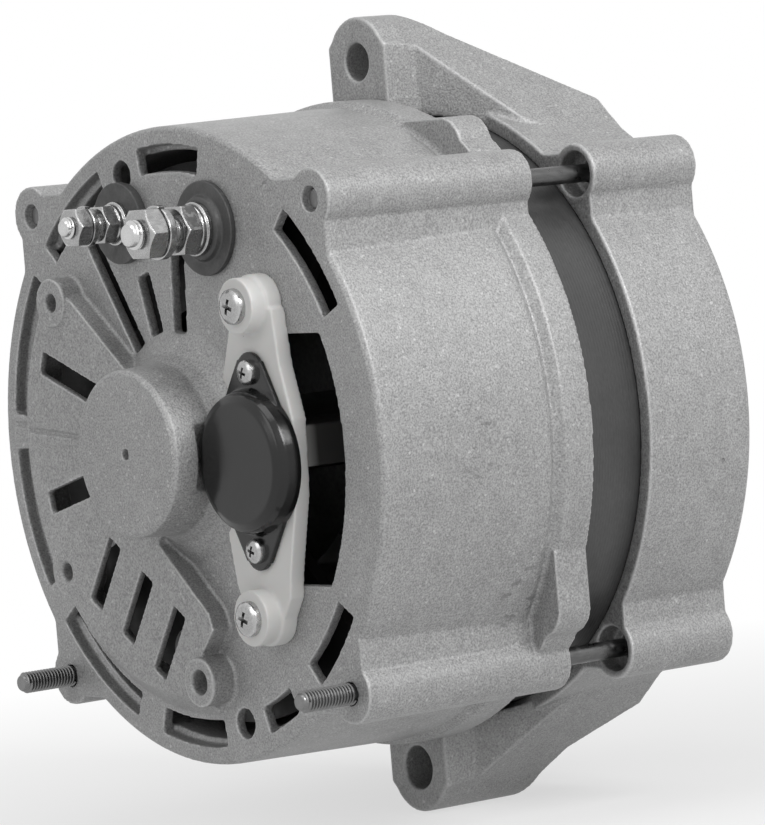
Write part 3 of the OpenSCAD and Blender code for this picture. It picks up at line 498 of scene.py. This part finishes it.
def cross_recess(node, head_y, radius, depth):
    """A tapered cross for each screw of a node, to be cut out of its head."""
    solid = bmesh.new()
    solid.from_mesh(nodes[node].data)
    bmesh.ops.remove_doubles(solid, verts=solid.verts, dist=WELD)
    middles = islands(solid)
    solid.free()
    cutter = bmesh.new()
    for middle in middles:
        for turn in (20, 110):
            arm = bmesh.ops.create_cube(cutter, size=1)["verts"]
            arm_size = Vector((radius * 1.3, depth * 2, radius * 0.30)) * MM
            bmesh.ops.scale(cutter, verts=arm, vec=arm_size)
            tip = [v for v in arm if v.co.y > 0]
            bmesh.ops.scale(cutter, verts=tip, vec=(0.45, 1, 0.55))
            swing = Matrix.Rotation(math.radians(turn), 3, "Y")
            bmesh.ops.rotate(cutter, verts=arm, cent=(0, 0, 0), matrix=swing)
            bmesh.ops.translate(cutter, verts=arm, vec=middle + Vector((0, head_y * MM, 0)))
    shape = bpy.data.meshes.new(node + "_recess")
    cutter.to_mesh(shape)
    cutter.free()
    return bpy.data.objects.new(node + "_recess", shape), middles


RECESS_DEPTH = 1.5


def cross_headed(node, face_y, height, length, head, shank):
    """Pan-head screws turned in the place of a node's own, with a tapered cross in each head."""
    head_y = face_y - height
    end_y = face_y + length
    recess, middles = cross_recess(node, head_y, head, RECESS_DEPTH)
    bpy.context.scene.collection.objects.link(recess)
    outline = [(0, head_y)] + [
        (head * math.sin(a), face_y - 0.35 * height - 0.65 * height * math.cos(a) ** 0.8)
        for a in (math.radians(15 * k) for k in range(1, 6))
    ] + [(head, face_y - 0.3 * height), (head, face_y), (shank, face_y), (shank, end_y), (0, end_y)]
    mesh = bmesh.new()
    for middle in middles:
        turned(mesh, outline, middle)
    bmesh.ops.recalc_face_normals(mesh, faces=mesh.faces)
    shape = bpy.data.meshes.new(node + "_turned")
    mesh.to_mesh(shape)
    mesh.free()
    piece = bpy.data.objects.new(node + "_turned", shape)
    bpy.context.scene.collection.objects.link(piece)
    cut = piece.modifiers.new("cut", "BOOLEAN")
    cut.object = recess
    cut.operation = "DIFFERENCE"
    cut.solver = "EXACT"
    cut.use_self = True
    settle(piece)
    bpy.data.objects.remove(recess)
    smooth_by_angle(piece, 28)
    return piece


PAN_HEADS = {
    "holder_screws": {
        "face_y": REAR_FACE - 9.6, "height": 2.8, "length": 16, "head": 4.8, "shank": 2.5,
    },
    "regulator_screws": {
        "face_y": REAR_FACE - 6.2, "height": 2.4, "length": 5.5, "head": 3.4, "shank": 1.75,
    },
}
for node, sizes in PAN_HEADS.items():
    dress(cross_headed(node, **sizes), node, zinc)
for node in ("retainer_screws", "plate_screws", "shaft_nut", "shaft_washer"):
    paint(node, zinc)


# Brush holder and plate insulators. Off-white moulded plastic with a few handling marks,
# darkened with painted shade deeper behind the rear face, inside the housing.
ivory = Finish("ivory_moulding", (0.77, 0.765, 0.75), 0.42)
ivory.shade(ivory.noise(30, 3.0), 0.04)
marks = ivory.ramp(ivory.cells(420, "Distance"), 0.10, 0.06)
few = ivory.ramp(ivory.noise(60, 2.0), 0.62, 0.66)
ivory.tint(ivory.maths("MULTIPLY", ivory.maths("MULTIPLY", marks, few), 0.6), (0.16, 0.15, 0.13))
depth = ivory.node("ShaderNodeSeparateXYZ")
ivory.plug(ivory.where, depth.inputs["Vector"])
# Painted shade: the moulding turns near-black deeper inside the housing, behind the rear face.
SHADE_START = (REAR_FACE + 1) * MM
SHADE_FULL = (REAR_FACE + 6) * MM
painted_shade_inside = ivory.ramp(depth.outputs["Y"], SHADE_START, SHADE_FULL, 0.0, 0.93)
ivory.tint(painted_shade_inside, 0.025)
ivory.roughen(ivory.noise(300), 0.06)
ivory.raise_by(ivory.noise(1200), 0.015)
ivory_finish = ivory.done(Subsurface_Weight=0.05, Subsurface_Scale=0.002)
dress(soften("brush_holder", voxel_mm=0.45, rounds=2), "brush_holder", ivory_finish)
paint("plate_insulators", ivory_finish)


# Regulator. A round can on a flange under glossy black lacquer, with its edges softened. Its two
# screws hold it on the brush holder.
lacquer = Finish("black_lacquer", 0.009, 0.17)
lacquer.shade(lacquer.noise(40, 3.0), 0.3)
lacquer.roughen(lacquer.noise(120, 3.0), 0.05)
lacquer.raise_by(lacquer.noise(350, 2.0), 0.02)
dress(soften("regulator", voxel_mm=0.3, rounds=3), "regulator", lacquer.done(Specular_IOR_Level=0.42))


# Rectifier. Two aluminium plates, near-black as painted shade, with pressed-in diodes in tinned cans,
# and a moulded diode carrier. They stand inside the rear housing and keep their own solids.
# The plates are coloured near-black as painted shade for the dark inside of the housing.
rolled = Finish("plate_in_painted_shade", 0.035, 0.45, metal=0.3)
rolled.shade(rolled.noise(35, 3.0), 0.1)
rolled.shade(rolled.noise(900, 2.0, stretch=(0.08, 1, 1)), 0.12)
rolled.roughen(rolled.noise(300), 0.1)
rolled_finish = rolled.done()
for node in ("negative_plate", "positive_plate"):
    paint(node, rolled_finish)
tinned = steel("tinned_can", 0.42, 0.42)
for node in ("negative_diodes", "positive_diodes"):
    paint(node, tinned)
carrier = Finish("diode_carrier", (0.07, 0.13, 0.085), 0.5)
carrier.shade(carrier.noise(80, 3.0), 0.2)
carrier.roughen(carrier.noise(300), 0.08)
carrier.raise_by(carrier.noise(900), 0.03)
paint("exciter_board", carrier.done())


# Bearings. Ground steel races and balls with a stamped brass cage, one bearing at each end of
# the shaft. They keep their own solids.
ground = Finish("ground_bearing_steel", 0.62, 0.16, metal=1.0)
ground.shade(ground.noise(60, 3.0), 0.06)
ground.roughen(ground.noise(700, 2.0), 0.05)
ground_finish = ground.done()
for node in ("front_bearing_outer", "front_bearing_inner", "front_bearing_balls",
             "rear_bearing_outer", "rear_bearing_inner", "rear_bearing_balls"):
    paint(node, ground_finish)
brass = Finish("stamped_brass", (0.55, 0.38, 0.14), 0.32, metal=1.0)
brass.shade(brass.noise(90, 3.0), 0.15)
brass.roughen(brass.noise(500), 0.08)
brass_finish = brass.done()
for node in ("front_bearing_cage", "rear_bearing_cage"):
    paint(node, brass_finish)


# Rotor. Two forged iron claw halves on a core, and turned copper slip rings. The fan at the
# drive end is painted black, with its edges softened.
forged = Finish("forged_iron", 0.14, 0.5, metal=0.75)
forged.shade(forged.noise(50, 3.0), 0.2)
forged.shade(forged.noise(900), 0.2)
forged.roughen(forged.noise(300), 0.1)
forged.raise_by(forged.noise(700), 0.06)
forged_finish = forged.done()
for node in ("rotor_core", "claw_front", "claw_rear"):
    paint(node, forged_finish)
ring_copper = Finish("turned_copper", (0.5, 0.25, 0.13), 0.28, metal=1.0)
ring_copper.shade(ring_copper.noise(2500, 2.0, stretch=(0.05, 1, 0.05)), 0.18)
ring_copper.roughen(ring_copper.noise(500), 0.08)
paint("slip_rings", ring_copper.done())
fan_paint = Finish("black_fan_paint", 0.03, 0.38)
fan_paint.shade(fan_paint.noise(60, 3.0), 0.2)
# The edges are lightened, a painted highlight.
fan_paint.tint(fan_paint.maths("MULTIPLY", fan_paint.edges(), 0.5), 0.2)
fan_paint.roughen(fan_paint.noise(400), 0.08)
fan_paint.raise_by(fan_paint.noise(600), 0.04)
dress(soften("fan", voxel_mm=0.7, rounds=1), "fan", fan_paint.done())


# Brushes and their springs. Two pressed carbon blocks slide in the channels of the brush holder,
# each with a spring of thin wire behind it. They keep their own solids.
carbon = Finish("pressed_carbon", 0.02, 0.55)
carbon.shade(carbon.noise(1400), 0.3)
carbon.roughen(carbon.noise(300), 0.1)
carbon_finish = carbon.done()
for node in ("brush_rear", "brush_front"):
    paint(node, carbon_finish)
spring_wire = steel("spring_wire", 0.45, 0.3)
for node in ("spring_rear", "spring_front"):
    paint(node, spring_wire)


# Studio. A pale floor that turns to plain white away from the part, so no horizon shows, with
# a broad soft lamp high on the right, a weak one behind the rear face and one overhead.
FLOOR_Z = cad_box[0][2] - 0.5 * MM
sweep = bmesh.new()
bmesh.ops.create_grid(sweep, x_segments=1, y_segments=1, size=4)
bmesh.ops.translate(sweep, verts=sweep.verts, vec=(0, 0, FLOOR_Z))
floor_mesh = bpy.data.meshes.new("floor")
sweep.to_mesh(floor_mesh)
sweep.free()
floor = bpy.data.objects.new("floor", floor_mesh)
bpy.context.scene.collection.objects.link(floor)


def shown_ray(tree):
    """1 for the rays that show a background: camera, glossy and transmission."""
    ray = tree.nodes.new("ShaderNodeLightPath")
    shown = ray.outputs["Is Camera Ray"]
    for kind in ("Is Glossy Ray", "Is Transmission Ray"):
        either = tree.nodes.new("ShaderNodeMath")
        either.operation = "MAXIMUM"
        tree.links.new(shown, either.inputs[0])
        tree.links.new(ray.outputs[kind], either.inputs[1])
        shown = either.outputs[0]
    return shown


pale = Finish("pale_floor", 0.8, 0.9)
floor.data.materials.append(pale.done(Specular_IOR_Level=0.0))
reach = pale.node("ShaderNodeVectorMath", operation="LENGTH")
pale.plug(pale.where, reach.inputs[0])
away = pale.ramp(reach.outputs["Value"], 0.12, 0.42, 0.62, 1.0)
white = pale.node("ShaderNodeEmission")
blend = pale.node("ShaderNodeMixShader")
pale.plug(pale.maths("MULTIPLY", away, shown_ray(pale.tree)), blend.inputs["Fac"])
pale.plug(pale.shader.outputs["BSDF"], blend.inputs[1])
pale.plug(white.outputs["Emission"], blend.inputs[2])
pale.plug(blend.outputs["Shader"], pale.tree.nodes["Material Output"].inputs["Surface"])


def lamp(name, azimuth, elevation, distance, size, watts):
    """Hangs a round soft lamp that faces the part."""
    light = bpy.data.lights.new(name, "AREA")
    light.shape = "DISK"
    light.size = size
    light.energy = watts
    swing = math.radians(azimuth)
    rise = math.radians(elevation)
    toward = Vector((
        math.sin(swing) * math.cos(rise), -math.cos(swing) * math.cos(rise), math.sin(rise)
    ))
    spot = bpy.data.objects.new(name, light)
    spot.location = AIM + toward * distance
    spot.rotation_euler = toward.to_track_quat("Z", "Y").to_euler()
    bpy.context.scene.collection.objects.link(spot)


lamp("key", 96, 37, 1.6, 0.7, 15.5)
lamp("rear_fill", 5, 30, 1.8, 1.2, 5.8)
lamp("top", 60, 80, 1.6, 1.0, 4.5)

FILL_LIGHT = 0.17
world = bpy.data.worlds.new("studio")
bpy.context.scene.world = world
world.use_nodes = True
background = world.node_tree.nodes["Background"]
background.inputs["Color"].default_value = (1, 1, 1, 1)
level = world.node_tree.nodes.new("ShaderNodeMapRange")
level.inputs["To Min"].default_value = FILL_LIGHT
level.inputs["To Max"].default_value = 1.0
world.node_tree.links.new(shown_ray(world.node_tree), level.inputs["Value"])
world.node_tree.links.new(level.outputs["Result"], background.inputs["Strength"])

bpy.context.scene.view_settings.view_transform = "Standard"
